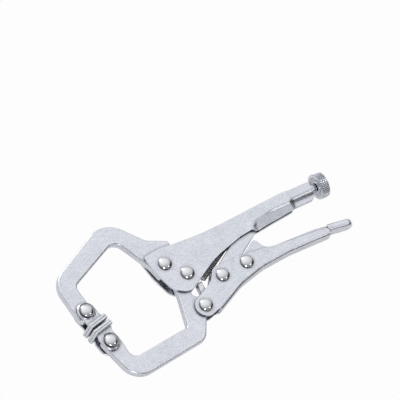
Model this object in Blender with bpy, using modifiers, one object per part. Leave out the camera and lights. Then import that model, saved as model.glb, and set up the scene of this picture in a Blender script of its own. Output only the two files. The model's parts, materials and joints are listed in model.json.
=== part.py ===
"""Locking C-clamp pliers with swivel pads, as separate named pieces.

The tool lies flat. Z is square to the jaws, X runs along the adjusting screw
towards the knob, and Y points from the lower handle to the upper one.
Sizes below are in millimetres, and places are measured from the jaw pivot.
MM turns them into Blender's metres.
"""
import math

import bmesh
import bpy
from mathutils import Matrix, Vector

MM = 0.001
NAME = "locking_c_clamp_pliers"

# stock and fits
JAW_PLATE = 4.6          # thickness of both jaws
SHEET = 1.3              # thickness of the handles' sheet
SIDE_GAP = 0.25          # play between a plate and the cheek beside it
REST_GAP = 0.3           # space left between pieces that touch
CHEEK_IN = JAW_PLATE / 2 + SIDE_GAP
CHEEK_OUT = CHEEK_IN + SHEET
FOLD_RADIUS = 3.2        # outside radius of the handles' folded backs

# overall reach, from the jaw pivot
JAW_REACH = 65.1         # to the fixed jaw's pad
HANDLE_REACH = 88.4      # to the end of the lower handle

# pivots, from the jaw pivot
FIXED_JAW_RIVET = (-8.7, 10.1)
JAW_PIVOT = (0.0, 0.0)
HANDLE_PIVOT = (-1.0, -20.9)
LINK_PIVOT = (17.7, -9.3)
LEVER_PIVOT = (34.7, -8.2)
FIXED_PAD_PIVOT = (-JAW_REACH, 3.9)
MOVABLE_PAD_PIVOT = (2.8 - JAW_REACH, -17.1)

# rivets
RIVET_SHANK = 2.0        # radius
RIVET_PLAY = 0.3         # radial play around a shank
HEAD_RADIUS = 3.8
HEAD_HEIGHT = 2.0
DOME_STEPS = 3
RIVET_SIDES = 16

# adjusting screw and knob
SCREW_Y = 15.5           # height of the screw's axis over the jaw pivot
SCREW_RADIUS = 2.4
SCREW_PLAY = 0.3
SCREW_TIP_X = 60.9
BORE_LEAD = 3.0          # the bore runs on this far past the screw's tip and the rolled end
SCREW_NECK_X = HANDLE_REACH + 9.0    # where the knob starts
SCREW_CHAMFER = 1.4
SCREW_END_INSET = 0.4    # the neck ends this far inside the knob's outer side
KNOB_RADIUS = 7.4
KNOB_WIDTH = 5.5
KNOB_BORE = 2.1
KNOB_DISH_DEPTH = 1.0
KNOB_DISH_RADIUS = 5.6
KNOB_RIM = 0.5
GRIP_START_X = 56.0      # round grip of the upper handle
GRIP_END_X = HANDLE_REACH - 9.4
GRIP_START_Y = 14.9      # middle of its round at the start
GRIP_SLOPE = 1.6         # degrees
GRIP_FOOT = 2.4          # half width across the legs at the slot
GRIP_DEPTH = 8.2
TUBE_RADIUS = 3.7        # rolled end of the upper handle
TUBE_START_X = HANDLE_REACH - 11.4
TUBE_END_X = HANDLE_REACH + 5.0
SEAM_DEPTH = 6.2         # pinched seam under the rolled end
SEAM_HALF = 1.4

# jaw pivot boss and the space that the fixed jaw leaves round it
BOSS_RADIUS = 6.6
BOSS_PLAY = 0.6
HANDLE_BOSS = 5.0

# toggle link and release lever, both between the cheeks
LINK_HALF = min(1.25, CHEEK_IN - 0.7)
LINK_BOSS = 5.0
LINK_TIP = (56.0, 12.7)
LINK_TIP_RADIUS = 2.4
LINK_WIDTH = 8.2
LINK_BULGE = 0.8         # the bar stands this much towards the upper handle
LEVER_HALF = CHEEK_IN - 0.35
LEVER_SHEET = 1.1
LEVER_BOSS = 3.7
TAIL_HALF = 4.0
TAIL_DEPTH = 4.0
TAIL_START_X = HANDLE_REACH + 0.5
TAIL_END_X = HANDLE_REACH + 16.0
TAIL_Y = -11.4
TAIL_SLOPE = 8.0         # degrees

# return spring
SPRING_EYE = (3.8, -8.8)
SPRING_EYE_RADIUS = 0.9
SPRING_WIRE = 0.45       # radius
SPRING_COIL = min(1.85, CHEEK_IN - SPRING_WIRE - 0.25)     # radius to the wire's middle
SPRING_START = (6.9, -5.6)
SPRING_END = (34.0, 8.4)
SPRING_TURNS = 16

# swivel pads
PAD_TILT = 11.4          # slope of the clamping plane, in degrees
PAD_FACE_GAP = 0.8       # space between the pads at rest
PAD_LENGTH = 12.4
PAD_HALF_WIDTH = 6.1
PAD_PLATE = 1.7
PAD_BASE = 1.4
PAD_SEAM = 0.3
PAD_EAR_RADIUS = 5.4
PAD_EAR_SHEET = 1.4
FIXED_PAD_SHIFT = 0.0
MOVABLE_PAD_SHIFT = 1.2

ARC_STEP = 14.0          # degrees a segment on rounded outlines
ROUND_SIDES = 20

METALS = {
    "satin_plate": ((0.66, 0.67, 0.69), 0.34),
    "handle_plate": ((0.62, 0.63, 0.65), 0.36),
    "rivet_plate": ((0.72, 0.72, 0.74), 0.16),
    "pad_plate": ((0.64, 0.64, 0.66), 0.32),
    "screw_plate": ((0.56, 0.57, 0.58), 0.28),
    "knob_plate": ((0.60, 0.60, 0.62), 0.30),
    "spring_steel": ((0.22, 0.22, 0.23), 0.35),
}


# ---------------------------------------------------------------- outlines
def fillet(before, corner, after, radius):
    """Points of the arc that rounds one corner of an outline."""
    corner = Vector(corner)
    back = (Vector(before) - corner).normalized()
    ahead = (Vector(after) - corner).normalized()
    half = back.angle(ahead) / 2
    reach = radius / math.tan(half)
    centre = corner + (back + ahead).normalized() * (radius / math.sin(half))
    start = corner + back * reach - centre
    sweep = start.angle_signed(corner + ahead * reach - centre)
    steps = max(2, math.ceil(abs(math.degrees(sweep)) / ARC_STEP))
    turns = [-sweep * i / steps for i in range(steps + 1)]
    return [centre + Matrix.Rotation(turn, 2) @ start for turn in turns]


def outline(items):
    """A closed outline from corners (x, y, radius) and ready-made runs of points.

    A corner's radius of 0 keeps it sharp.
    """
    runs = [item if isinstance(item, list) else [Vector(item[:2])] for item in items]
    points = []
    for i, item in enumerate(items):
        if isinstance(item, list) or not item[2]:
            points += runs[i]
        else:
            points += fillet(runs[i - 1][-1], item[:2], runs[(i + 1) % len(items)][0], item[2])
    return points


def circle(centre, radius, sides=ROUND_SIDES):
    return [Vector(centre) + radius * Vector((math.cos(a), math.sin(a)))
            for a in (2 * math.pi * i / sides for i in range(sides))]


def arc(centre, radius, start, end):
    """Points on a circle from one angle to another, in degrees."""
    steps = max(2, math.ceil(abs(end - start) / ARC_STEP))
    angles = [math.radians(start + (end - start) * i / steps) for i in range(steps + 1)]
    return [Vector(centre) + radius * Vector((math.cos(a), math.sin(a))) for a in angles]


# ---------------------------------------------------------------- blender helpers
def collection(name):
    group = bpy.data.collections.new(name)
    bpy.context.scene.collection.children.link(group)
    return group


def metal(name):
    colour, roughness = METALS[name]
    material = bpy.data.materials.get(name) or bpy.data.materials.new(name)
    material.use_nodes = True
    shader = material.node_tree.nodes["Principled BSDF"]
    shader.inputs["Base Color"].default_value = (*colour, 1.0)
    shader.inputs["Metallic"].default_value = 1.0
    shader.inputs["Roughness"].default_value = roughness
    material.diffuse_color = (*colour, 1.0)
    return material


def add_object(name, mesh, group, material=None):
    piece = bpy.data.objects.new(name, mesh)
    group.objects.link(piece)
    if material:
        mesh.materials.clear()
        mesh.materials.append(metal(material))
    return piece


def curve_mesh(name, outlines, low, high):
    """A flat plate: the first outline is its rim and the others are its holes."""
    curve = bpy.data.curves.new(name, "CURVE")
    curve.dimensions = "2D"
    curve.fill_mode = "BOTH"
    curve.extrude = (high - low) / 2 * MM
    for outline in outlines:
        spline = curve.splines.new("POLY")
        spline.points.add(len(outline) - 1)
        for point, place in zip(spline.points, outline):
            point.co = (place.x * MM, place.y * MM, 0.0, 1.0)
        spline.use_cyclic_u = True
    holder = bpy.data.objects.new(name, curve)
    bpy.context.scene.collection.objects.link(holder)
    holder.location.z = (high + low) / 2 * MM
    return curve_to_mesh(holder)


def curve_to_mesh(holder):
    """Replace a curve object by the closed mesh it draws."""
    bpy.context.view_layer.update()
    drawn = holder.evaluated_get(bpy.context.evaluated_depsgraph_get())
    mesh = bpy.data.meshes.new_from_object(drawn)
    mesh.transform(holder.matrix_world)
    work = bmesh.new()
    work.from_mesh(mesh)
    bmesh.ops.remove_doubles(work, verts=work.verts, dist=1e-6)
    work.to_mesh(mesh)
    work.free()
    curve = holder.data
    bpy.data.objects.remove(holder)
    bpy.data.curves.remove(curve)
    return mesh


def turned(name, profile, group, material, axis="X", sides=ROUND_SIDES):
    """Turn a profile of (place along the axis, radius) points about X or Z."""
    mesh = bpy.data.meshes.new(name)
    work = bmesh.new()
    for along, radius in profile:
        place = (along, radius, 0.0) if axis == "X" else (radius, 0.0, along)
        work.verts.new(Vector(place) * MM)
    work.verts.ensure_lookup_table()
    for i in range(len(profile) - 1):
        work.edges.new(work.verts[i:i + 2])
    work.to_mesh(mesh)
    work.free()
    piece = add_object(name, mesh, group, material)
    screw = piece.modifiers.new("turn", "SCREW")
    screw.axis = axis
    screw.steps = screw.render_steps = sides
    screw.use_merge_vertices = True
    screw.merge_threshold = 1e-6
    screw.use_normal_flip = axis == "X"
    return piece


def boolean(piece, cutter, operation):
    modifier = piece.modifiers.new(cutter.name, "BOOLEAN")
    modifier.operation = operation
    modifier.object = cutter
    modifier.solver = "EXACT"


def hide_cutter(cutter):
    cutter.hide_render = True
    cutter.display_type = "WIRE"


def round_back(mesh, back, half, radius):
    """Round the long edges of a plate that lie along its back outline."""
    work = bmesh.new()
    work.from_mesh(mesh)
    back = [place * MM for place in back]
    tolerance = 0.02 * MM

    def on_back(vert):
        flat = Vector(vert.co[:2])
        level = abs(abs(vert.co.z) - half * MM) < tolerance
        return level and any((flat - place).length < tolerance for place in back)

    flat = [e for e in work.edges if e.calc_face_angle(1.0) < 0.001]
    bmesh.ops.dissolve_edges(work, edges=flat, use_verts=False)
    edges = [e for e in work.edges if all(on_back(v) for v in e.verts)
             and abs(e.verts[0].co.z - e.verts[1].co.z) < tolerance and e.calc_face_angle(0.0) > 1.0]
    bmesh.ops.bevel(work, geom=edges, offset=radius * MM, segments=4, profile=0.5,
                    affect="EDGES", material=-1, clamp_overlap=True)
    work.to_mesh(mesh)
    work.free()


def smooth(piece, angle=32.0):
    piece.data.shade_smooth()
    piece.data.set_sharp_from_angle(angle=math.radians(angle))


# ---------------------------------------------------------------- jaws
def fixed_jaw_outline():
    tip = -JAW_REACH
    return outline([
        (tip + 5.1, -1.2, 4.0), (tip - 5.8, -1.2, 4.0), (tip - 7.2, 27.2, 8.0), (-26.2, 47.9, 13.0),
        (-10.0, 27.3, 8.0), (1.4, 22.0, 1.5), (1.4, 9.4, 1.0),
        arc(JAW_PIVOT, BOSS_RADIUS + BOSS_PLAY, 95.0, 158.0),
        (-9.4, 3.4, 0.5), (-15.0, 4.2, 1.0), (-16.6, 12.5, 15.0), (-26.4, 34.6, 6.0),
        (tip + 3.3, 19.9, 4.0)])


def movable_jaw_outline():
    tip = MOVABLE_PAD_PIVOT[0]
    return outline([
        arc(JAW_PIVOT, BOSS_RADIUS, 165.0, -105.0),
        (-4.6, -11.2, 2.5), (-1.6, -14.2, 1.2), (1.4, -13.2, 1.0),
        (2.2, -7.3, 0.9), (5.6, -6.7, 0.9), (5.0, -12.0, 4.0),
        arc(HANDLE_PIVOT, HANDLE_BOSS, 35.0, -55.0),
        (-3.4, -26.6, 3.0), (-10.9, -37.9, 4.0), (tip + 1.4, -43.1, 7.0),
        (tip - 5.5, -12.6, 4.0), (tip + 5.5, -12.6, 4.0), (tip + 6.7, -18.6, 10.0),
        (tip + 6.7, -30.7, 4.5), (-17.0, -27.3, 1.5), (-11.4, -9.0, 8.0), (-10.4, -2.4, 2.0)])


def make_jaw(name, rim, holes, group):
    half = JAW_PLATE / 2
    add_object(name, curve_mesh(name, [rim] + holes, -half, half), group, "satin_plate")


def rivet_hole(place):
    return circle(place, RIVET_SHANK + RIVET_PLAY)


def make_jaws(group):
    make_jaw("fixed_jaw", fixed_jaw_outline(),
             [rivet_hole(FIXED_JAW_RIVET), rivet_hole(FIXED_PAD_PIVOT)], group)
    make_jaw("movable_jaw", movable_jaw_outline(),
             [rivet_hole(JAW_PIVOT), rivet_hole(HANDLE_PIVOT), rivet_hole(MOVABLE_PAD_PIVOT),
              circle(SPRING_EYE, SPRING_EYE_RADIUS, 12)], group)


# ---------------------------------------------------------------- handles
UPPER_BACK = [(2.6, 18.4, 0), (20.0, 17.4, 30.0), (34.0, 17.7, 30.0), (GRIP_START_X + 0.5, 18.8, 0)]
UPPER_BELLY = [(GRIP_START_X + 0.5, 5.9, 0), (50.6, 5.6, 1.5), (48.4, 7.2, 1.5), (40.0, 6.6, 20.0),
               (19.5, 1.4, 40.0), (2.6, -7.0, 0)]
UPPER_CHEEK = [(-17.6, 18.3, 1.2), (-16.4, 7.0, 25.0), (-12.9, -5.2, 7.0), (-4.6, -10.6, 6.5),
               (2.6, -7.0, 0), (6.0, -3.0, 0), (6.0, 12.0, 0), (2.4, 17.3, 0), (-7.0, 19.4, 12.0)]

LOWER_BACK = [(7.6, -26.4, 0), (26.0, -18.4, 30.0), (43.0, -14.5, 40.0), (62.0, -13.2, 40.0),
              (HANDLE_REACH, -13.7, 0)]
LOWER_TOP = [(HANDLE_REACH, -9.2, 1.5), (60.0, -6.9, 30.0), (35.0, -3.2, 20.0), (15.0, -3.0, 4.5),
             (10.0, -9.2, 8.0), (7.6, -11.0, 0)]
LOWER_CHEEK = [(4.4, -26.2, 0), (7.0, -25.6, 0), (12.0, -22.0, 0), (12.0, -9.0, 0), (7.6, -11.0, 0)]
NOSE_RADIUS = 5.9


def far_side(points, shift):
    return [point + Vector((0.0, shift)) for point in points]


def folded_body(name, back, rest, cheek, group, cutters):
    """A handle before it is hollowed: a round-backed body joined to its front cheeks."""
    body = curve_mesh(name, [outline([back] + rest)], -CHEEK_OUT, CHEEK_OUT)
    round_back(body, back, CHEEK_OUT, FOLD_RADIUS)
    piece = add_object(name, body, group, "handle_plate")
    front = add_object(name + "_cheeks", curve_mesh(name, [cheek], -CHEEK_OUT, CHEEK_OUT), cutters)
    boolean(piece, front, "UNION")
    hide_cutter(front)
    return piece


def hollow(piece, space, half, cutters):
    """Take a flat-sided space out of the middle of a piece."""
    name = piece.name + "_space"
    cutter = add_object(name, curve_mesh(name, [space], -half, half), cutters)
    boolean(piece, cutter, "DIFFERENCE")
    hide_cutter(cutter)


def drill(piece, places, cutters):
    """Rivet holes through the whole piece, square to the jaws."""
    reach = CHEEK_OUT + 2.0
    for i, place in enumerate(places):
        name = "%s_hole_%d" % (piece.name, i)
        cutter = add_object(name, curve_mesh(name, [rivet_hole(place)], -reach, reach), cutters)
        boolean(piece, cutter, "DIFFERENCE")
        hide_cutter(cutter)


def make_upper_handle(group, cutters):
    back = outline(UPPER_BACK)
    piece = folded_body("upper_handle", back, UPPER_BELLY, outline(UPPER_CHEEK), group, cutters)
    roof = far_side(back, -SHEET)
    rear = roof[-1].x + 1.0
    space = outline([roof, (rear, roof[-1].y, 0), (rear, -20.0, 0), (-30.0, -20.0, 0),
                     (-30.0, 30.0, 0), (roof[0].x - 0.2, 30.0, 0)])
    hollow(piece, space, CHEEK_IN, cutters)
    for name, mesh in (("grip", grip_mesh()), ("tube", rolled_end_mesh())):
        part = add_object("upper_handle_" + name, mesh, cutters)
        boolean(piece, part, "UNION")
        hide_cutter(part)
    start, end = SCREW_TIP_X - BORE_LEAD, TUBE_END_X + BORE_LEAD
    radius = SCREW_RADIUS + SCREW_PLAY
    bore = turned("upper_handle_bore", [(start, 0.0), (start, radius), (end, radius), (end, 0.0)],
                  cutters, "screw_plate")
    bore.location.y = SCREW_Y * MM
    boolean(piece, bore, "DIFFERENCE")
    hide_cutter(bore)
    drill(piece, (FIXED_JAW_RIVET, JAW_PIVOT), cutters)


def grip_mesh():
    """The grip: round over the screw, with legs that lean in towards an open slot below."""
    inner = CHEEK_OUT - SHEET
    outside = arc((0.0, 0.0), CHEEK_OUT, 0.0, 180.0)
    inside = arc((0.0, 0.0), inner, 180.0, 0.0)
    left = [(-GRIP_FOOT, -GRIP_DEPTH, 0), (-GRIP_FOOT + SHEET, -GRIP_DEPTH, 0)]
    right = [(GRIP_FOOT - SHEET, -GRIP_DEPTH, 0), (GRIP_FOOT, -GRIP_DEPTH, 0)]
    mesh = curve_mesh("grip", [outline([outside] + left + [inside] + right)],
                      0.0, GRIP_END_X - GRIP_START_X)
    return lay_along_x(mesh, GRIP_START_X, GRIP_START_Y, GRIP_SLOPE)


def lay_along_x(mesh, x, y, slope=0.0):
    """Turn a section drawn across Z, so that it runs along X from a place in the tool's plane."""
    turn = Matrix(((0, 0, 1, 0), (0, 1, 0, 0), (-1, 0, 0, 0), (0, 0, 0, 1)))
    lean = Matrix.Rotation(math.radians(slope), 4, "Z")
    mesh.transform(Matrix.Translation((x * MM, y * MM, 0)) @ lean @ turn)
    return mesh


def rolled_end_mesh():
    """The rolled end round the screw, drop shaped, with its pinched seam below."""
    seam = [(-SEAM_HALF, -TUBE_RADIUS, 0.6), (-SEAM_HALF, -SEAM_DEPTH, 0.5),
            (SEAM_HALF, -SEAM_DEPTH, 0.5), (SEAM_HALF, -TUBE_RADIUS, 0.6)]
    section = outline([arc((0.0, 0.0), TUBE_RADIUS, -52.0, 232.0)] + seam)
    mesh = curve_mesh("rolled_end", [section], 0.0, TUBE_END_X - TUBE_START_X)
    return lay_along_x(mesh, TUBE_START_X, SCREW_Y)


def make_lower_handle(group, cutters):
    back = outline(LOWER_BACK)
    nose = arc(HANDLE_PIVOT, NOSE_RADIUS, 112.0, 292.0)
    cheek = outline([nose] + LOWER_CHEEK)
    piece = folded_body("lower_handle", back, LOWER_TOP, cheek, group, cutters)
    floor = far_side(back, SHEET)
    rear = floor[-1].x + 10.0
    space = outline([floor, (rear, floor[-1].y, 0), (rear, 20.0, 0), (-30.0, 20.0, 0),
                     (-30.0, -40.0, 0), (floor[0].x - 0.2, -40.0, 0)])
    hollow(piece, space, CHEEK_IN, cutters)
    drill(piece, (HANDLE_PIVOT, LINK_PIVOT, LEVER_PIVOT), cutters)


# ---------------------------------------------------------------- link and lever
def link_outline():
    """A straight bar from the link's pivot to the screw's tip, narrower at the tip."""
    along = (Vector(LINK_TIP) - Vector(LINK_PIVOT)).normalized()
    side = Vector((-along.y, along.x))
    slope = math.degrees(math.atan2(along.y, along.x))
    start, end = Vector(LINK_PIVOT) + along * 6.0, Vector(LINK_TIP) - along * 9.0
    high, low = side * (LINK_WIDTH / 2 + LINK_BULGE), -side * (LINK_WIDTH / 2 - LINK_BULGE)
    return outline([
        arc(LINK_PIVOT, LINK_BOSS, slope + 120.0, slope + 240.0),
        (*(start + low), 6.0), (*(end + low), 20.0),
        arc(LINK_TIP, LINK_TIP_RADIUS, slope - 80.0, slope + 80.0),
        (*(end + high), 20.0), (*(start + high), 6.0)])


def make_link(group):
    mesh = curve_mesh("toggle_link", [link_outline(), rivet_hole(LINK_PIVOT)], -LINK_HALF, LINK_HALF)
    add_object("toggle_link", mesh, group, "satin_plate")


LEVER_END_X = HANDLE_REACH + 2.2
LEVER_ROOM_X = LEVER_END_X - 6.6     # end of the lever's hollow
LEVER_TOP = [(LEVER_END_X, -8.0, 0), (LEVER_END_X - 8.6, -6.6, 30.0), (56.0, -5.6, 18.0),
             (49.8, -4.4, 5.0), (47.4, 1.6, 1.0), (45.8, 1.7, 1.0)]
LEVER_UNDER = [(38.0, -11.4, 3.0), (LEVER_END_X, -11.0, 0)]
LEVER_SPACE = [(40.0, -20.0, 0), (LEVER_ROOM_X, -20.0, 0), (LEVER_ROOM_X, -7.9, 3.0),
               (57.0, -7.2, 10.0), (47.5, -5.6, 4.0), (42.0, -6.4, 4.0)]


def make_lever(group, cutters):
    """The release lever: a folded channel, open below, with a wide thumb tail."""
    rim = outline([arc(LEVER_PIVOT, LEVER_BOSS, 135.0, 250.0)] + LEVER_UNDER + LEVER_TOP)
    body = curve_mesh("release_lever", [rim], -LEVER_HALF, LEVER_HALF)
    piece = add_object("release_lever", body, group, "handle_plate")
    hollow(piece, outline(LEVER_SPACE), LEVER_HALF - LEVER_SHEET, cutters)
    tail = add_object("release_lever_tail", tail_mesh(0.0, TAIL_DEPTH), cutters)
    boolean(piece, tail, "UNION")
    dish = add_object("release_lever_dish", tail_mesh(LEVER_SHEET, TAIL_DEPTH - LEVER_SHEET), cutters)
    boolean(piece, dish, "DIFFERENCE")
    hide_cutter(tail)
    hide_cutter(dish)
    drill(piece, (LEVER_PIVOT,), cutters)


def tail_mesh(inset, height):
    """The thumb tail's tongue, with a round end; inset leaves a wall round a hollow."""
    start, end = TAIL_START_X + inset, TAIL_END_X - inset
    half = TAIL_HALF - inset
    plan = outline([(start, half, 0), (start, -half, 0), arc((end - half, 0.0), half, -90.0, 90.0)])
    below = 1.0 if inset else 0.0
    mesh = curve_mesh("tail", [plan], -below, height)
    lay = Matrix(((1, 0, 0, 0), (0, 0, 1, 0), (0, -1, 0, 0), (0, 0, 0, 1)))
    slope = Matrix.Rotation(math.radians(-TAIL_SLOPE), 4, "Z")
    place = Matrix.Translation((TAIL_START_X * MM, TAIL_Y * MM, 0))
    mesh.transform(place @ slope @ Matrix.Translation((-TAIL_START_X * MM, 0, 0)) @ lay)
    return mesh


# ---------------------------------------------------------------- rivets
def make_rivet(name, place, grip, group):
    """A shank with a domed head at each end, along Z; grip is half its length."""
    dome = [(grip + HEAD_HEIGHT * math.cos(a), HEAD_RADIUS * math.sin(a))
            for a in (math.pi / 2 * i / DOME_STEPS for i in range(DOME_STEPS + 1))]
    half = dome + [(grip, RIVET_SHANK)]
    other = [(-along, radius) for along, radius in reversed(half)]
    rivet = turned(name, half + other, group, "rivet_plate", "Z", RIVET_SIDES)
    rivet.location = (place[0] * MM, place[1] * MM, 0)


def make_rivets(group):
    """Each rivet holds one joint; its grip is what it passes through."""
    through_cheeks = CHEEK_OUT + REST_GAP
    through_pads = CHEEK_IN + PAD_EAR_SHEET + REST_GAP
    places = {
        "fixed_jaw_rivet": (FIXED_JAW_RIVET, through_cheeks),
        "jaw_pivot_rivet": (JAW_PIVOT, through_cheeks),
        "handle_pivot_rivet": (HANDLE_PIVOT, through_cheeks),
        "link_rivet": (LINK_PIVOT, through_cheeks),
        "release_lever_rivet": (LEVER_PIVOT, through_cheeks),
        "fixed_pad_rivet": (FIXED_PAD_PIVOT, through_pads),
        "movable_pad_rivet": (MOVABLE_PAD_PIVOT, through_pads),
    }
    for name, (place, grip) in places.items():
        make_rivet(name, place, grip, group)


# ---------------------------------------------------------------- screw, knob and spring
def make_screw(group):
    """The adjusting screw, with a domed tip; its neck is held in the knob."""
    neck = KNOB_BORE - REST_GAP
    shoulder = SCREW_NECK_X - REST_GAP
    end = SCREW_NECK_X + KNOB_WIDTH - SCREW_END_INSET
    profile = [(SCREW_TIP_X, 0.0), (SCREW_TIP_X + 0.4, SCREW_RADIUS / 2),
               (SCREW_TIP_X + SCREW_CHAMFER, SCREW_RADIUS), (shoulder, SCREW_RADIUS),
               (shoulder, neck), (end, neck), (end, 0.0)]
    piece = turned("adjusting_screw", profile, group, "screw_plate", sides=20)
    piece.location.y = SCREW_Y * MM


def make_knob(group):
    """The round knob, dished on its inner side, with a bore for the screw's neck."""
    start, end = SCREW_NECK_X, SCREW_NECK_X + KNOB_WIDTH
    profile = [(start + KNOB_DISH_DEPTH, KNOB_BORE), (start + KNOB_DISH_DEPTH, KNOB_DISH_RADIUS - 1.0),
               (start, KNOB_DISH_RADIUS), (start, KNOB_RADIUS - KNOB_RIM),
               (start + KNOB_RIM, KNOB_RADIUS), (end - KNOB_RIM, KNOB_RADIUS),
               (end, KNOB_RADIUS - KNOB_RIM), (end, KNOB_BORE),
               (start + KNOB_DISH_DEPTH, KNOB_BORE)]
    piece = turned("adjusting_knob", profile, group, "knob_plate", sides=32)
    piece.location.y = SCREW_Y * MM


def make_spring(group):
    """The return spring's outer form: its coil as a sleeve with a hook at each end."""
    start, end = Vector(SPRING_START), Vector(SPRING_END)
    curve = bpy.data.curves.new("return_spring", "CURVE")
    curve.dimensions = "3D"
    curve.bevel_depth = SPRING_WIRE * MM
    curve.bevel_resolution = 0
    curve.use_fill_caps = True
    along = (end - start).normalized()
    side = Vector((-along.y, along.x))
    points = []
    steps = SPRING_TURNS * 8
    length = (end - start).length
    for i in range(steps + 1):
        angle = 2 * math.pi * SPRING_TURNS * i / steps
        flat = start + along * (length * i / steps) + side * SPRING_COIL * math.cos(angle)
        points.append((flat.x, flat.y, SPRING_COIL * math.sin(angle)))
    spline = curve.splines.new("POLY")
    spline.points.add(len(points) - 1)
    for point, place in zip(spline.points, points):
        point.co = (place[0] * MM, place[1] * MM, place[2] * MM, 1.0)
    holder = bpy.data.objects.new("return_spring", curve)
    bpy.context.scene.collection.objects.link(holder)
    return add_object("return_spring", curve_to_mesh(holder), group, "spring_steel")


# ---------------------------------------------------------------- swivel pads
def pad_face_depth():
    """From a pad's pivot to its clamping face, square to the clamping plane."""
    normal = Vector((-math.sin(math.radians(PAD_TILT)), math.cos(math.radians(PAD_TILT))))
    between = Vector(FIXED_PAD_PIVOT) - Vector(MOVABLE_PAD_PIVOT)
    return (between.dot(normal) - PAD_FACE_GAP) / 2


def pad_clevis_mesh(shift):
    """Two round ears on a base; the pad's own frame has its face towards -Y."""
    foot = -pad_face_depth() + PAD_PLATE + PAD_SEAM
    shoulder = foot + PAD_BASE
    left, right = shift - PAD_LENGTH / 2, shift + PAD_LENGTH / 2
    ear_half = CHEEK_IN + PAD_EAR_SHEET
    ear = outline([arc((0.0, 0.0), PAD_EAR_RADIUS, -20.0, 200.0),
                   (left + 1.0, shoulder, 0), (left + 1.0, foot, 0),
                   (right - 1.0, foot, 0), (right - 1.0, shoulder, 0)])
    base = outline([(left, foot, 0), (right, foot, 0), (right, shoulder, 0), (left, shoulder, 0)])
    return (curve_mesh("clevis", [ear], -ear_half, ear_half),
            curve_mesh("clevis_base", [base], -PAD_HALF_WIDTH, PAD_HALF_WIDTH))


def make_pad(name, pivot, shift, turn, group, cutters):
    """One swivel pad: a clevis round the jaw's tip, and the plate brazed to it."""
    body, base = pad_clevis_mesh(shift)
    clevis = add_object(name + "_clevis", body, group, "pad_plate")
    base = add_object(name + "_base", base, cutters)
    boolean(clevis, base, "UNION")
    hide_cutter(base)
    depth = pad_face_depth()
    floor = -depth + PAD_PLATE + PAD_SEAM + PAD_BASE
    slot = outline([(-20.0, floor, 0), (20.0, floor, 0), (20.0, 20.0, 0), (-20.0, 20.0, 0)])
    hollow(clevis, slot, CHEEK_IN, cutters)
    drill(clevis, ((0.0, 0.0),), cutters)
    left, right = shift - PAD_LENGTH / 2, shift + PAD_LENGTH / 2
    rim = outline([(left, -depth, 0), (right, -depth, 0), (right, -depth + PAD_PLATE, 0),
                   (left, -depth + PAD_PLATE, 0)])
    plate = add_object(name + "_plate", curve_mesh("plate", [rim], -PAD_HALF_WIDTH, PAD_HALF_WIDTH),
                       group, "pad_plate")
    holder = bpy.data.objects.new(name + "_axis", None)
    group.objects.link(holder)
    holder.location = (pivot[0] * MM, pivot[1] * MM, 0)
    holder.rotation_euler.z = math.radians(turn)
    for piece in [clevis, plate] + [m.object for m in clevis.modifiers]:
        piece.parent = holder


# ---------------------------------------------------------------- assembly
def clear_scene():
    for piece in list(bpy.data.objects):
        bpy.data.objects.remove(piece, do_unlink=True)


def stand_on_origin(group):
    """Move the whole tool so that the middle of its underside is at the origin."""
    bpy.context.view_layer.update()
    depsgraph = bpy.context.evaluated_depsgraph_get()
    corners = []
    for piece in group.objects:
        if piece.type == "MESH":
            drawn = piece.evaluated_get(depsgraph)
            corners += [drawn.matrix_world @ Vector(corner) for corner in drawn.bound_box]
    low = Vector([min(c[i] for c in corners) for i in range(3)])
    high = Vector([max(c[i] for c in corners) for i in range(3)])
    base = bpy.data.objects.new("tool_origin", None)
    group.objects.link(base)
    for piece in list(bpy.data.objects):
        if piece.parent is None and piece is not base:
            piece.parent = base
    base.location = (-(low.x + high.x) / 2, -(low.y + high.y) / 2, -low.z)


def main():
    clear_scene()
    group = collection(NAME)
    cutters = collection(NAME + "_cutters")
    make_jaws(group)
    make_upper_handle(group, cutters)
    make_lower_handle(group, cutters)
    make_link(group)
    make_lever(group, cutters)
    make_screw(group)
    make_knob(group)
    make_spring(group)
    make_pad("fixed_pad", FIXED_PAD_PIVOT, FIXED_PAD_SHIFT, PAD_TILT, group, cutters)
    make_pad("movable_pad", MOVABLE_PAD_PIVOT, -MOVABLE_PAD_SHIFT, PAD_TILT + 180.0, group, cutters)
    make_rivets(group)
    stand_on_origin(group)
    for piece in group.objects:
        if piece.type == "MESH":
            smooth(piece)


main()
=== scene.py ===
"""Locking C-clamp pliers with swivel pads: the visible pieces, their finishes and the stage."""

import json
import math

import bmesh
import bpy
from bpy.props import FloatProperty, FloatVectorProperty, IntProperty, PointerProperty
from mathutils import Matrix, Vector


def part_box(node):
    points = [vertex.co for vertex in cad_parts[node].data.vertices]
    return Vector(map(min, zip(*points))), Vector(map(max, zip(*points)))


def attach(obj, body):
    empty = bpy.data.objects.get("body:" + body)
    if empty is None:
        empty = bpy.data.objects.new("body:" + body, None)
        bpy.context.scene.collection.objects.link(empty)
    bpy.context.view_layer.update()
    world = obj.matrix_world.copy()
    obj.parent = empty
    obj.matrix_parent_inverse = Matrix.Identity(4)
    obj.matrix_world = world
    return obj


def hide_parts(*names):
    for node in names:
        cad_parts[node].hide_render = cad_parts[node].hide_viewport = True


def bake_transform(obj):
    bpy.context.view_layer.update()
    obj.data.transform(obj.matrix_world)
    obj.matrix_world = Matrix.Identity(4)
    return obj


bl_info = {
    "name": "Locking C-clamp pliers",
    "version": (1, 0, 0),
    "blender": (4, 5, 0),
    "location": "View3D > Sidebar > Pliers",
    "description": "Builds locking C-clamp pliers with swivel pads",
    "category": "Object",
}

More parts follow.
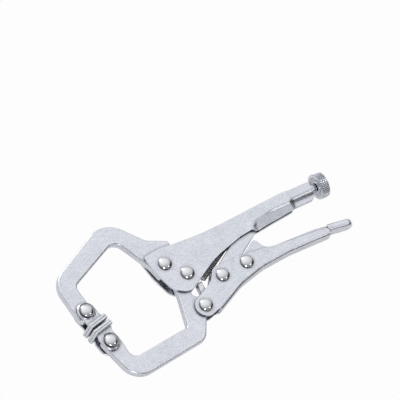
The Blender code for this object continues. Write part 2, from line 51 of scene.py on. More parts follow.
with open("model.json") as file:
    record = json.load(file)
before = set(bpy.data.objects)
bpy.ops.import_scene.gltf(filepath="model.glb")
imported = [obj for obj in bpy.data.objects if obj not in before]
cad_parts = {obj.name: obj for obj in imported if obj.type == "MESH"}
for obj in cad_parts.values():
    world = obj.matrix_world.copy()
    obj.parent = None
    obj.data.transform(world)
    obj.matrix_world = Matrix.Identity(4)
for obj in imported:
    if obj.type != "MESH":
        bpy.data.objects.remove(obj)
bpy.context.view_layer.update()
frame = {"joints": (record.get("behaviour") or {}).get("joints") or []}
MM = 0.001


# ---------------------------------------------------------------- places from the frame
def joint_place(name):
    for joint in frame["joints"]:
        if joint["name"] == name:
            return Vector(joint["pos_m"])
    raise ValueError("the frame has no joint named " + name)


def middle(node):
    low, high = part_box(node)
    return (Vector(low) + Vector(high)) / 2


def half_height(node):
    low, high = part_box(node)
    return (high[2] - low[2]) / 2 / MM


PIVOT = joint_place("jaw_open")
SCREW_AXIS = middle("adjusting_screw")
JAW_HALF = half_height("fixed_jaw")
CHEEK_HALF = half_height("upper_handle")
LINK_HALF = half_height("toggle_link")
LEVER_HALF = LINK_HALF + 0.95
PAD_HALF = half_height("fixed_pad_plate")


def place(x, y, z=0.0):
    """A point of the tool in millimetres from the jaw pivot, in the frame's metres."""
    return PIVOT + Vector((x, y, z)) * MM


def from_pivot(point):
    """A frame point in millimetres from the jaw pivot."""
    return (Vector(point) - PIVOT) / MM


# ---------------------------------------------------------------- settings
class PliersSizes(bpy.types.PropertyGroup):
    sheet: FloatProperty(
        name="Sheet", description="Thickness of the handles' sheet",
        default=0.0013, unit="LENGTH", subtype="DISTANCE")
    jaw_edge: FloatProperty(
        name="Jaw edge", description="Rounding of the jaws' edges",
        default=0.0010, unit="LENGTH", subtype="DISTANCE")
    fold: FloatProperty(
        name="Fold", description="Outside radius of the handles' folded backs",
        default=0.0037, unit="LENGTH", subtype="DISTANCE")
    head: FloatProperty(
        name="Rivet head", description="Radius of the rivet heads",
        default=0.0038, unit="LENGTH", subtype="DISTANCE")
    dome: FloatProperty(
        name="Rivet dome", description="Height of the rivet heads",
        default=0.0020, unit="LENGTH", subtype="DISTANCE")
    thread_pitch: FloatProperty(
        name="Thread pitch", description="Pitch of the adjusting screw",
        default=0.00125, unit="LENGTH", subtype="DISTANCE")
    spring_wire: FloatProperty(
        name="Spring wire", description="Radius of the return spring's wire",
        default=0.00037, unit="LENGTH", subtype="DISTANCE")
    knurl_count: IntProperty(
        name="Knurl count", description="Points of the knurl round the knob, two to a diamond",
        default=60, min=24)


class PliersColours(bpy.types.PropertyGroup):
    plate: FloatVectorProperty(
        name="Plate", description="Satin nickel on the jaws and the link",
        subtype="COLOR", size=3, default=(0.855, 0.875, 0.93))
    handle: FloatVectorProperty(
        name="Handle", description="Satin nickel on the pressed sheet",
        subtype="COLOR", size=3, default=(0.845, 0.865, 0.92))
    rivet: FloatVectorProperty(
        name="Rivet", description="Bright nickel on the rivet heads",
        subtype="COLOR", size=3, default=(0.88, 0.885, 0.90))
    spring: FloatVectorProperty(
        name="Spring", description="Oiled spring wire",
        subtype="COLOR", size=3, default=(0.33, 0.33, 0.35))


# ---------------------------------------------------------------- finishes, with painted crease shade
def new_node(tree, kind, at, **values):
    node = tree.nodes.new(kind)
    node.location = at
    for name, value in values.items():
        setattr(node, name, value)
    return node


def plated_surface_group():
    """Varying tone, roughness and height of a satin nickel plate, shared by every finish; the
    colour also carries painted shade, darkened in creases and between parts by ambient occlusion.
    """
    group = bpy.data.node_groups.get("plated_surface")
    if group:
        return group
    group = bpy.data.node_groups.new("plated_surface", "ShaderNodeTree")
    face = group.interface
    face.new_socket("Vector", in_out="INPUT", socket_type="NodeSocketVector")
    for name, default in (("Tone", 0.05), ("Roughness", 0.3), ("Spread", 0.06), ("Grain", 0.5)):
        face.new_socket(name, in_out="INPUT", socket_type="NodeSocketFloat").default_value = default
    face.new_socket("Colour", in_out="INPUT", socket_type="NodeSocketColor")
    face.new_socket("Colour", in_out="OUTPUT", socket_type="NodeSocketColor")
    face.new_socket("Roughness", in_out="OUTPUT", socket_type="NodeSocketFloat")
    face.new_socket("Height", in_out="OUTPUT", socket_type="NodeSocketFloat")
    start = new_node(group, "NodeGroupInput", (-1000, 0))
    end = new_node(group, "NodeGroupOutput", (700, 0))
    link = group.links.new

    fine = new_node(group, "ShaderNodeTexNoise", (-700, 250))
    fine.inputs["Scale"].default_value = 1000.0
    fine.inputs["Detail"].default_value = 3.0
    broad = new_node(group, "ShaderNodeTexNoise", (-700, 0))
    broad.inputs["Scale"].default_value = 110.0
    broad.inputs["Detail"].default_value = 4.0
    stretch = new_node(group, "ShaderNodeMapping", (-900, -250))
    stretch.inputs["Scale"].default_value = (260.0, 2600.0, 2600.0)
    streak = new_node(group, "ShaderNodeTexNoise", (-700, -250))
    streak.inputs["Scale"].default_value = 1.0
    streak.inputs["Detail"].default_value = 2.0
    for target in (fine, broad, stretch):
        link(start.outputs["Vector"], target.inputs["Vector"])
    link(stretch.outputs["Vector"], streak.inputs["Vector"])

    def mix(a, b, share, at):
        node = new_node(group, "ShaderNodeMix", at, data_type="FLOAT")
        node.inputs["Factor"].default_value = share
        link(a, node.inputs["A"])
        link(b, node.inputs["B"])
        return node.outputs["Result"]

    grain = mix(fine.outputs["Fac"], streak.outputs["Fac"], 0.45, (-450, 150))
    mottle = mix(grain, broad.outputs["Fac"], 0.22, (-250, 50))
    centred = new_node(group, "ShaderNodeMath", (-80, 50), operation="SUBTRACT")
    centred.inputs[1].default_value = 0.5
    link(mottle, centred.inputs[0])

    tone = new_node(group, "ShaderNodeMath", (80, 200), operation="MULTIPLY_ADD")
    link(centred.outputs[0], tone.inputs[0])
    link(start.outputs["Tone"], tone.inputs[1])
    tone.inputs[2].default_value = 1.0
    # painted shade: ambient occlusion darkens the colour in creases and between parts, where shade
    # falls
    crease = new_node(group, "ShaderNodeAmbientOcclusion", (-250, 450), samples=8)
    crease.inputs["Distance"].default_value = 0.0022
    shade = new_node(group, "ShaderNodeMapRange", (-80, 400))
    shade.inputs["From Min"].default_value = 0.30
    shade.inputs["From Max"].default_value = 0.97
    shade.inputs["To Min"].default_value = 0.15
    link(crease.outputs["AO"], shade.inputs["Value"])
    # the random tone times the painted crease shade
    tone_and_painted_crease_shade = new_node(group, "ShaderNodeMath", (180, 350), operation="MULTIPLY")
    link(tone.outputs[0], tone_and_painted_crease_shade.inputs[0])
    link(shade.outputs["Result"], tone_and_painted_crease_shade.inputs[1])
    colour = new_node(group, "ShaderNodeVectorMath", (350, 200), operation="SCALE")
    link(start.outputs["Colour"], colour.inputs[0])
    link(tone_and_painted_crease_shade.outputs[0], colour.inputs["Scale"])
    link(colour.outputs["Vector"], end.inputs["Colour"])

    rough = new_node(group, "ShaderNodeMath", (80, 0), operation="MULTIPLY_ADD")
    link(centred.outputs[0], rough.inputs[0])
    link(start.outputs["Spread"], rough.inputs[1])
    link(start.outputs["Roughness"], rough.inputs[2])
    link(rough.outputs[0], end.inputs["Roughness"])

    height = new_node(group, "ShaderNodeMath", (80, -200), operation="MULTIPLY")
    link(grain, height.inputs[0])
    link(start.outputs["Grain"], height.inputs[1])
    link(height.outputs[0], end.inputs["Height"])
    return group


def plated(name, colour, roughness, tone=1.3, spread=0.5, grain=1.0, bump=0.00006):
    """A metal finish whose tone, gloss and grain vary over the surface, and whose colour carries
    painted shade in creases and between parts.
    """
    material = bpy.data.materials.get(name)
    if material:
        return material
    material = bpy.data.materials.new(name)
    material.use_nodes = True
    tree = material.node_tree
    shader = tree.nodes["Principled BSDF"]
    shader.inputs["Metallic"].default_value = 1.0
    where = new_node(tree, "ShaderNodeTexCoord", (-900, 0))
    surface = new_node(tree, "ShaderNodeGroup", (-600, 0))
    surface.node_tree = plated_surface_group()
    surface.inputs["Colour"].default_value = (*colour, 1.0)
    surface.inputs["Tone"].default_value = tone
    surface.inputs["Roughness"].default_value = roughness
    surface.inputs["Spread"].default_value = spread
    surface.inputs["Grain"].default_value = grain
    relief = new_node(tree, "ShaderNodeBump", (-300, -200))
    relief.inputs["Strength"].default_value = 0.35
    relief.inputs["Distance"].default_value = bump
    link = tree.links.new
    link(where.outputs["Object"], surface.inputs["Vector"])
    link(surface.outputs["Colour"], shader.inputs["Base Color"])
    link(surface.outputs["Roughness"], shader.inputs["Roughness"])
    link(surface.outputs["Height"], relief.inputs["Height"])
    link(relief.outputs["Normal"], shader.inputs["Normal"])
    material.diffuse_color = (*colour, 1.0)
    return material


def finish_of(slot):
    colours = bpy.context.scene.pliers_colours
    finishes = {
        "satin_plate": lambda: plated("satin_plate_finish", colours.plate, 0.30),
        "handle_plate": lambda: plated("handle_plate_finish", colours.handle, 0.28),
        "rivet_plate": lambda: plated("rivet_plate_finish", colours.rivet, 0.10, 0.4, 0.1, 0.3),
        "pad_plate": lambda: plated("pad_plate_finish", colours.plate, 0.26),
        "screw_plate": lambda: plated("screw_plate_finish", colours.handle, 0.24),
        "knob_plate": lambda: plated("knob_plate_finish", colours.plate, 0.34),
        "spring_steel": lambda: plated("spring_steel_finish", colours.spring, 0.24),
    }
    return finishes[slot]()


# ---------------------------------------------------------------- shaping
def round_corner(work, vert, radius):
    """Round one corner of an outline by its radius in millimetres."""
    arms = [edge.other_vert(vert).co - vert.co for edge in vert.link_edges]
    opening = arms[0].angle(arms[1])
    reach = radius * MM / math.tan(opening / 2)
    steps = max(2, math.ceil((math.pi - opening) / math.radians(7.0)))
    bmesh.ops.bevel(work, geom=[vert], offset=reach, offset_type="OFFSET", segments=steps,
                    profile=0.5, affect="VERTICES", material=-1, clamp_overlap=False)


def flat_shape(corners, level):
    """A new bmesh with one flat face through corners (x, y, radius), in millimetres."""
    work = bmesh.new()
    verts = [work.verts.new(place(x, y, level)) for x, y, radius in corners]
    work.faces.new(verts)
    for vert, (x, y, radius) in zip(verts, corners):
        if radius:
            round_corner(work, vert, radius)
    return work


def thicken(work, height):
    """Raise a flat shape into a solid of that height, in millimetres."""
    raised = bmesh.ops.extrude_face_region(work, geom=work.faces[:])
    verts = [item for item in raised["geom"] if isinstance(item, bmesh.types.BMVert)]
    bmesh.ops.translate(work, verts=verts, vec=(0.0, 0.0, height * MM))
    bmesh.ops.recalc_face_normals(work, faces=work.faces)


def rim_edges(work):
    """Edges between a flat face and the side of a raised shape."""
    found = []
    for edge in work.edges:
        tilt = sorted(abs(face.normal.z) for face in edge.link_faces)
        if len(tilt) == 2 and tilt[0] < 0.1 and tilt[1] > 0.9:
            found.append(edge)
    return found


def soften(work, edges, offset, segments=3):
    bmesh.ops.bevel(work, geom=edges, offset=offset, segments=segments, profile=0.5,
                    affect="EDGES", material=-1, clamp_overlap=True)


def plate(corners, low, high, edge):
    """A solid plate with rounded edges; edge is in metres."""
    work = flat_shape(corners, low)
    thicken(work, high - low)
    work.normal_update()
    soften(work, rim_edges(work), edge)
    return work


def turned(profile, centre, axis, steps=48):
    """Turn (along, radius) points, in millimetres, about an axis through a frame point."""
    work = bmesh.new()
    axis = Vector(axis).normalized()
    side = axis.orthogonal().normalized()
    verts = [work.verts.new(centre + (axis * along + side * radius) * MM)
             for along, radius in profile]
    edges = [work.edges.new(pair) for pair in zip(verts, verts[1:])]
    bmesh.ops.spin(work, geom=verts + edges, cent=centre, axis=axis, dvec=(0, 0, 0),
                   angle=2 * math.pi, steps=steps, use_merge=True)
    bmesh.ops.remove_doubles(work, verts=work.verts, dist=0.002 * MM)
    bmesh.ops.recalc_face_normals(work, faces=work.faces)
    return work


def ease(value, low, high):
    """A smooth step from 0 at low to 1 at high."""
    share = min(1.0, max(0.0, (value - low) / (high - low)))
    return share * share * (3.0 - 2.0 * share)


def blend_between(a, b, share):
    return a + (b - a) * share


def deliver(work, name, body, nodes, slot, sharp=34.0):
    """Make the object, give it its finish, and tie it to the frame."""
    mesh = bpy.data.meshes.new(name)
    work.to_mesh(mesh)
    work.free()
    mesh.shade_smooth()
    mesh.set_sharp_from_angle(angle=math.radians(sharp))
    piece = bpy.data.objects.new(name, mesh)
    bpy.context.scene.collection.objects.link(piece)
    mesh.materials.append(finish_of(slot))
    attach(piece, body)
    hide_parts(*nodes)
    return piece


def keep_flats_flat(piece):
    """Shade the flat faces flat and let only their rounded edges turn the light."""
    normals = piece.modifiers.new("normals", "WEIGHTED_NORMAL")
    normals.keep_sharp = True
    normals.weight = 100


def join(*works):
    """Put several shapes into the first one."""
    base = works[0]
    for other in works[1:]:
        mesh = bpy.data.meshes.new("part")
        other.to_mesh(mesh)
        other.free()
        base.from_mesh(mesh)
        bpy.data.meshes.remove(mesh)
    return base


# ---------------------------------------------------------------- jaws and link
FIXED_JAW = [
    (-60.0, -1.2, 4.0), (-70.9, -1.2, 4.0), (-72.2, 27.1, 12.0), (-26.2, 47.9, 15.0),
    (-10.0, 27.3, 8.0), (1.4, 22.0, 1.5), (1.4, 9.4, 1.0), (-5.6, 4.6, 1.0), (-9.4, 3.4, 0.9),
    (-15.0, 4.2, 1.0), (-16.6, 12.5, 15.0), (-26.4, 34.6, 6.0), (-61.8, 19.9, 4.0)]
MOVABLE_JAW = [
    (-10.4, -2.4, 4.0), (-6.6, 6.4, 5.4), (6.4, 6.4, 5.6), (6.4, -6.0, 4.6), (-0.6, -6.6, 1.2),
    (-4.6, -11.2, 2.5), (-1.6, -14.2, 1.2), (1.4, -13.2, 1.0),
    (2.2, -7.3, 1.0), (5.6, -6.7, 1.0), (5.2, -12.0, 4.0), (4.0, -22.0, 4.0),
    (-3.6, -26.6, 3.0), (-11.0, -37.8, 6.5), (-60.8, -43.0, 12.0),
    (-67.8, -12.6, 4.0), (-56.8, -12.6, 4.0), (-55.6, -18.6, 10.0),
    (-55.6, -30.7, 4.5), (-17.0, -27.3, 1.5), (-11.4, -9.0, 8.0)]


class PLIERS_OT_jaws(bpy.types.Operator):
    """Build the fixed jaw and the movable jaw"""
    bl_idname = "pliers.jaws"
    bl_label = "Jaws"

    def execute(self, context):
        edge = context.scene.pliers_sizes.jaw_edge
        for name, corners, body in (("fixed_jaw", FIXED_JAW, "frame"),
                                    ("movable_jaw", MOVABLE_JAW, "movable_jaw")):
            work = plate(corners, -JAW_HALF, JAW_HALF, edge)
            keep_flats_flat(deliver(work, name + "_plate", body, [name], "satin_plate", 50.0))
        return {"FINISHED"}


class PLIERS_OT_toggle_link(bpy.types.Operator):
    """Build the flat link of the toggle"""
    bl_idname = "pliers.toggle_link"
    bl_label = "Toggle link"

    width = 8.2
    bulge = 0.8
    boss = 5.0
    tip = 2.7

    def execute(self, context):
        start = from_pivot(joint_place("link_swing")).xy
        end = Vector((56.0, 12.7))
        along = (end - start).normalized()
        side = Vector((-along.y, along.x))
        high = side * (self.width / 2 + self.bulge)
        low = -side * (self.width / 2 - self.bulge)
        corners = [(start + side * self.boss - along * self.boss, 4.8),
                   (start - side * self.boss - along * self.boss, 4.8),
                   (start + along * 6.0 + low, 6.0), (end - along * 9.0 + low, 20.0),
                   (end - side * self.tip + along * self.tip, 2.5),
                   (end + side * self.tip + along * self.tip, 2.5),
                   (end - along * 9.0 + high, 20.0), (start + along * 6.0 + high, 6.0)]
        corners = [(point.x, point.y, radius) for point, radius in corners]
        work = plate(corners, -LINK_HALF, LINK_HALF, 0.0004)
        keep_flats_flat(deliver(work, "toggle_link_plate", "toggle_link", ["toggle_link"],
                                "satin_plate", 50.0))
        return {"FINISHED"}


# ---------------------------------------------------------------- handles
ROOF_FRONT = 2.6
UPPER_SIDE = [
    (-17.6, 18.3, 1.2), (-16.4, 7.0, 25.0), (-12.9, -5.2, 7.0), (-4.6, -10.6, 6.5),
    (19.5, 1.4, 40.0), (40.0, 6.7, 20.0), (48.6, 7.6, 2.0), (52.0, 6.0, 2.0), (77.4, 8.2, 1.5),
    (79.6, 9.4, 1.0), (92.4, 9.4, 1.4), (93.4, 12.0, 0.0), (93.4, 19.2, 0.0),
    (81.0, 19.2, 6.0), (76.6, 19.8, 8.0), (54.0, 18.75, 60.0), (34.0, 17.7, 30.0),
    (20.0, 17.4, 30.0), (ROOF_FRONT, 18.4, 0.0), (-7.0, 19.4, 12.0)]
FOLD_FRONT = 7.6
LOWER_SIDE = [
    (-8.8, -17.8, 5.9), (-5.2, -28.4, 6.0), (4.2, -25.9, 1.5), (FOLD_FRONT, -26.4, 0.0),
    (26.0, -18.4, 30.0), (43.0, -14.5, 40.0), (62.0, -13.2, 40.0), (88.4, -13.7, 0.0),
    (88.4, -9.2, 1.5), (60.0, -6.9, 30.0), (35.0, -3.2, 20.0), (15.0, -3.0, 4.5),
    (10.0, -9.2, 8.0), (6.0, -11.6, 6.0)]


def folded_sheet(corners, is_back, fold):
    """Two side walls and the back between them, with the back's long edges folded round."""
    work = flat_shape(corners, -CHEEK_HALF)
    thicken(work, 2 * CHEEK_HALF)
    work.normal_update()
    rim = [face for face in work.faces if abs(face.normal.z) < 0.5]
    open_rim = [face for face in rim if not is_back(face)]
    bmesh.ops.delete(work, geom=open_rim, context="FACES")
    work.normal_update()
    soften(work, rim_edges(work), fold, 7)
    return work


def cut_across(work, point, normal, beyond):
    """Divide the faces that lie past a place, so that they can be bent."""
    faces = [face for face in work.faces if from_pivot(face.calc_center_median()).x > beyond]
    geom = set(faces)
    for face in faces:
        geom.update(face.verts)
        geom.update(face.edges)
    bmesh.ops.bisect_plane(work, geom=list(geom), dist=1e-7, plane_co=point, plane_no=normal)


def add_sheet_thickness(piece, thickness):
    shell = piece.modifiers.new("sheet", "SOLIDIFY")
    shell.thickness = thickness
    shell.offset = -1.0
    shell.use_even_offset = True
    shell.use_quality_normals = True
    edge = piece.modifiers.new("edge", "BEVEL")
    edge.width = 0.0004
    edge.segments = 2
    edge.limit_method = "ANGLE"
    edge.angle_limit = math.radians(50.0)
    keep_flats_flat(piece)


class PLIERS_OT_upper_handle(bpy.types.Operator):
    """Build the fixed handle: cheeks, folded back, round grip and rolled end"""
    bl_idname = "pliers.upper_handle"
    bl_label = "Upper handle"

    slices = 60
    slice_width = 0.74
    bands = 24
    band_start = 6.2
    band_width = 0.42
    crease_y = 8.3
    crease_lean = 0.9
    grip_start = 49.0
    grip_full = 52.4
    tube_start = 77.4
    tube_full = 80.6
    link_foot = 2.6
    grip_foot = 2.05
    foot_from = 57.0
    foot_to = 66.0
    foot_y = 6.4
    leg_lean = 0.21
    tube_foot = 1.42
    tube_radius = 3.7
    corner_power = 6

    def execute(self, context):
        sizes = context.scene.pliers_sizes

        def is_back(face):
            middle_of_face = from_pivot(face.calc_center_median())
            return middle_of_face.x > ROOF_FRONT and face.normal.y > 0.3

        work = folded_sheet(UPPER_SIDE, is_back, sizes.fold)
        first = self.grip_start - 0.8
        cut_across(work, place(first, 0.0), (1, 0, 0), -100.0)
        for i in range(1, self.slices):
            cut_across(work, place(first + self.slice_width * i, 0.0), (1, 0, 0), first)
        for i in range(self.bands):
            cut_across(work, place(0.0, self.band_start + self.band_width * i), (0, 1, 0), first)
        for vert in work.verts:
            self.press_round(vert)
        bmesh.ops.recalc_face_normals(work, faces=work.faces)
        piece = deliver(work, "upper_handle_sheet", "frame", ["upper_handle"], "handle_plate")
        add_sheet_thickness(piece, sizes.sheet)
        return {"FINISHED"}

    def press_round(self, vert):
        """Lean the side walls in below the screw's axis, and narrow the rolled end."""
        x, y, z = from_pivot(vert.co)
        bend = ease(x - self.crease_lean * max(0.0, y - self.crease_y),
                    self.grip_start, self.grip_full)
        if bend == 0.0:
            return
        roll = ease(x, self.tube_start, self.tube_full)
        radius = blend_between(CHEEK_HALF, self.tube_radius, roll)
        leg = blend_between(self.link_foot, self.grip_foot,
                            ease(x, self.foot_from, self.foot_to))
        leg += self.leg_lean * max(0.0, y - self.foot_y)
        leg = blend_between(leg, self.tube_foot, roll)
        drop = max(0.0, from_pivot(SCREW_AXIS).y - 0.3 - y)
        circle = math.sqrt(max(0.0, radius ** 2 - drop ** 2))
        power = self.corner_power
        width = min(radius, (circle ** power + leg ** power) ** (1 / power))
        scale = blend_between(1.0, width / CHEEK_HALF, bend)
        vert.co.z = PIVOT.z + z * scale * MM


class PLIERS_OT_lower_handle(bpy.types.Operator):
    """Build the moving handle: a folded channel, open above"""
    bl_idname = "pliers.lower_handle"
    bl_label = "Lower handle"

    def execute(self, context):
        sizes = context.scene.pliers_sizes

        def is_back(face):
            middle_of_face = from_pivot(face.calc_center_median())
            return middle_of_face.x > FOLD_FRONT and face.normal.y < -0.3

        work = folded_sheet(LOWER_SIDE, is_back, sizes.fold)
        piece = deliver(work, "lower_handle_sheet", "lower_handle", ["lower_handle"],
                        "handle_plate")
        add_sheet_thickness(piece, sizes.sheet)
        return {"FINISHED"}


LEVER_SIDE = [
    (30.6, -5.8, 1.5), (32.0, -11.6, 2.0), (90.4, -11.6, 0.5), (90.4, -8.1, 0.5),
    (82.0, -6.6, 30.0), (56.0, -5.6, 18.0), (49.8, -4.4, 5.0), (47.4, 1.7, 1.4), (45.2, 1.7, 0.8)]


class PLIERS_OT_release_lever(bpy.types.Operator):
    """Build the release lever with its hump and thumb tail"""
    bl_idname = "pliers.release_lever"
    bl_label = "Release lever"

    edge = 0.0007
    tail_start = 88.9
    tail_half = 4.0
    tail_depth = 4.5
    tail_drop = 7.2
    tail_slope = -8.0
    tail_edge = 0.0016
    dish_rim = 0.0005
    dish_depth = 0.0004

    def execute(self, context):
        work = plate(LEVER_SIDE, -LEVER_HALF, LEVER_HALF, self.edge)
        work = join(work, self.thumb_tail())
        keep_flats_flat(deliver(work, "release_lever_body", "release_lever", ["release_lever"],
                                "handle_plate", 40.0))
        return {"FINISHED"}

    def thumb_tail(self):
        """The round-ended tail, with a dished top."""
        low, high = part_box("release_lever")
        end = from_pivot(high).x
        start, half = self.tail_start, self.tail_half
        tail = flat_shape([(start, -half, 0.0), (end, -half, half - 0.1), (end, half, half - 0.1),
                           (start, half, 0.0)], -self.tail_depth)
        thicken(tail, self.tail_depth)
        tail.normal_update()
        soften(tail, rim_edges(tail), self.tail_edge, 5)
        tail.normal_update()
        top = [face for face in tail.faces if face.normal.z > 0.95]
        bmesh.ops.inset_region(tail, faces=top, thickness=self.dish_rim, depth=-self.dish_depth,
                               use_even_offset=True)
        corner = place(start, 0.0)
        upright = Matrix.Rotation(math.radians(-90.0), 4, "X")
        lean = Matrix.Rotation(math.radians(self.tail_slope), 4, "Z")
        down = Matrix.Translation(Vector((0.0, -self.tail_drop * MM, 0.0)))
        turn = Matrix.Translation(corner) @ down @ lean @ upright @ Matrix.Translation(-corner)
        bmesh.ops.transform(tail, matrix=turn, verts=tail.verts)
        return tail


# ---------------------------------------------------------------- rivets
RIVETS = {
    "fixed_jaw_rivet": "frame",
    "jaw_pivot_rivet": "frame",
    "fixed_pad_rivet": "frame",
    "movable_pad_rivet": "movable_jaw",
    "handle_pivot_rivet": "lower_handle",
    "link_rivet": "lower_handle",
    "release_lever_rivet": "lower_handle",
}


class PLIERS_OT_rivets(bpy.types.Operator):
    """Build the rivets, each with a domed head at both ends"""
    bl_idname = "pliers.rivets"
    bl_label = "Rivets"

    shank = 2.0
    rim = 0.35
    arc_steps = 12
    facets = 56

    def execute(self, context):
        sizes = context.scene.pliers_sizes
        head, dome = sizes.head / MM, sizes.dome / MM
        for node, body in RIVETS.items():
            reach = half_height(node)
            seat = reach - dome
            crown = [(seat + self.rim + (dome - self.rim) * math.cos(turn), head * math.sin(turn))
                     for turn in (math.radians(90.0 / self.arc_steps * i)
                                  for i in range(self.arc_steps + 1))]
            half = crown + [(seat + 0.1, head - 0.05), (seat, head - 0.25), (seat, self.shank)]
            other = [(-along, radius) for along, radius in reversed(half)]
            work = turned(half + other, middle(node), (0, 0, 1), self.facets)
            deliver(work, node + "_dome", body, [node], "rivet_plate", 50.0)
        return {"FINISHED"}


# ---------------------------------------------------------------- screw and knob
class PLIERS_OT_adjusting_screw(bpy.types.Operator):
    """Build the adjusting screw with its thread"""
    bl_idname = "pliers.adjusting_screw"
    bl_label = "Adjusting screw"

    crest = 2.3
    root = 1.75
    neck = 1.7
    neck_length = 5.4
    plain_length = 4.4
    facets = 28

    def execute(self, context):
        low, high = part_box("adjusting_screw")
        centre = Vector((low[0], SCREW_AXIS.y, SCREW_AXIS.z))
        length = (high[0] - low[0]) / MM
        shoulder = length - self.neck_length
        threaded = shoulder - self.plain_length
        core = turned([(0.0, 0.0), (0.4, 1.2), (1.0, self.root), (threaded, self.root),
                       (threaded + 0.4, self.crest), (shoulder - 0.15, self.crest),
                       (shoulder, self.crest - 0.15), (shoulder, self.neck),
                       (length - 0.2, self.neck), (length, 1.5), (length, 0.0)],
                      centre, (1, 0, 0), 32)
        pitch = context.scene.pliers_sizes.thread_pitch
        turns = int(threaded * MM / pitch) - 2
        thread = bmesh.new()
        tooth = ((0.0, self.root - 0.05), (0.42, self.crest), (0.58, self.crest),
                 (1.0, self.root - 0.05))
        start = centre + Vector((0.0012, 0.0, 0.0))
        verts = [thread.verts.new(start + Vector((share * pitch, 0.0, radius * MM)))
                 for share, radius in tooth]
        edges = [thread.edges.new(pair) for pair in zip(verts, verts[1:])]
        steps = turns * self.facets
        bmesh.ops.spin(thread, geom=verts + edges, cent=centre, axis=(1, 0, 0),
                       dvec=(pitch / self.facets, 0, 0), angle=turns * 2 * math.pi, steps=steps)
        bmesh.ops.recalc_face_normals(thread, faces=thread.faces)
        work = join(core, thread)
        deliver(work, "adjusting_screw_thread", "adjusting_screw", ["adjusting_screw"],
                "screw_plate", 40.0)
        return {"FINISHED"}


class PLIERS_OT_adjusting_knob(bpy.types.Operator):
    """Build the knob: a knurled rim, a dished inner side and a hub"""
    bl_idname = "pliers.adjusting_knob"
    bl_label = "Adjusting knob"

    knurl_rows = 7
    knurl_depth = 0.5
    rim = 0.55
    bore = 2.0

    def execute(self, context):
        low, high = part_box("adjusting_knob")
        centre = Vector((low[0], SCREW_AXIS.y, SCREW_AXIS.z))
        width = (high[0] - low[0]) / MM
        radius = (high[2] - low[2]) / 2 / MM
        first, last = self.rim, width - self.rim
        rows = [(first + (last - first) * i / (self.knurl_rows - 1), radius)
                for i in range(self.knurl_rows)]
        inner = [(1.0, self.bore), (0.1, self.bore + 0.1), (0.1, 3.2), (0.4, 3.6), (0.9, 3.9),
                 (0.9, 4.9), (0.4, 5.4), (0.05, 5.7), (0.0, 6.1), (0.1, 6.5), (0.4, 6.95)]
        outer = [(width - 0.4, 6.95), (width - 0.05, 6.4), (width, 6.0), (width - 0.1, 4.6),
                 (width - 0.3, 3.0), (width - 0.3, 2.2), (width - 0.5, self.bore)]
        count = context.scene.pliers_sizes.knurl_count
        work = turned(inner + rows + outer, centre, (1, 0, 0), count)
        side = Vector((1, 0, 0)).orthogonal()
        begin = math.atan2(side.z, side.y)
        valleys = set()
        for vert in work.verts:
            offset = vert.co - centre
            spread = math.hypot(offset.y, offset.z) / MM
            if spread > radius - 0.05 and first - 0.01 < offset.x / MM < last + 0.01:
                row = round((offset.x / MM - first) / ((last - first) / (self.knurl_rows - 1)))
                turn = (math.atan2(offset.z, offset.y) - begin) / (2 * math.pi) * count
                if (round(turn) + row) % 2:
                    scale = (radius - self.knurl_depth) / radius
                    vert.co.y = centre.y + offset.y * scale
                    vert.co.z = centre.z + offset.z * scale
                    valleys.add(vert)
        for face in work.faces[:]:
            ends = [vert for vert in face.verts if vert in valleys]
            if len(face.verts) == 4 and len(ends) == 2:
                bmesh.utils.face_split(face, ends[0], ends[1])
        deliver(work, "adjusting_knob_knurled", "adjusting_knob", ["adjusting_knob"],
                "knob_plate", 22.0)
        return {"FINISHED"}


# ---------------------------------------------------------------- spring
class PLIERS_OT_return_spring(bpy.types.Operator):
    """Build the return spring: a close coil, with an eye in the movable jaw's ear"""
    bl_idname = "pliers.return_spring"
    bl_label = "Return spring"

    coil = 1.85
    start = (7.6, -5.2)
    end = (33.0, 7.9)
    eye = (3.8, -8.8)
    eye_share = 0.40
    facets = 18
    spacing = 3.2

    def wire_ring(self, work, centre, direction, radius):
        """A small ring of wire across a direction."""
        turn = Vector(direction).to_track_quat("Z", "Y").to_matrix().to_4x4()
        ring = bmesh.ops.create_circle(work, segments=10, radius=radius,
                                       matrix=Matrix.Translation(centre) @ turn)["verts"]
        edges = {edge for vert in ring for edge in vert.link_edges}
        return ring + list(edges)

    def execute(self, context):
        wire = context.scene.pliers_sizes.spring_wire
        start, end = place(*self.start), place(*self.end)
        axis = (end - start).normalized()
        side = Vector((-axis.y, axis.x, 0.0))
        pitch = wire * self.spacing
        turns = int((end - start).length / pitch)
        work = bmesh.new()
        ring = self.wire_ring(work, start + side * self.coil * MM, (0, 0, 1), wire)
        bmesh.ops.spin(work, geom=ring, cent=start, axis=axis,
                       dvec=axis * (pitch / self.facets), angle=turns * 2 * math.pi,
                       steps=turns * self.facets)
        eye = place(*self.eye)
        loop_centre = eye + (start - eye) * self.eye_share
        loop_radius = (eye - loop_centre).length
        away = (eye - loop_centre).normalized()
        ring = self.wire_ring(work, loop_centre - away * loop_radius, (away.y, -away.x, 0), wire)
        bmesh.ops.spin(work, geom=ring, cent=loop_centre, axis=(away.y, -away.x, 0.0),
                       dvec=(0, 0, 0), angle=2 * math.pi, steps=24)
        bmesh.ops.remove_doubles(work, verts=work.verts, dist=0.002 * MM)
        bmesh.ops.recalc_face_normals(work, faces=work.faces)
        mesh = bpy.data.meshes.new("return_spring_coil")
        work.to_mesh(mesh)
        work.free()
        mesh.shade_smooth()
        mesh.materials.append(finish_of("spring_steel"))
        piece = bpy.data.objects.new("return_spring_coil", mesh)
        context.scene.collection.objects.link(piece)
        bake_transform(piece)
        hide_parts("return_spring")
        return {"FINISHED"}


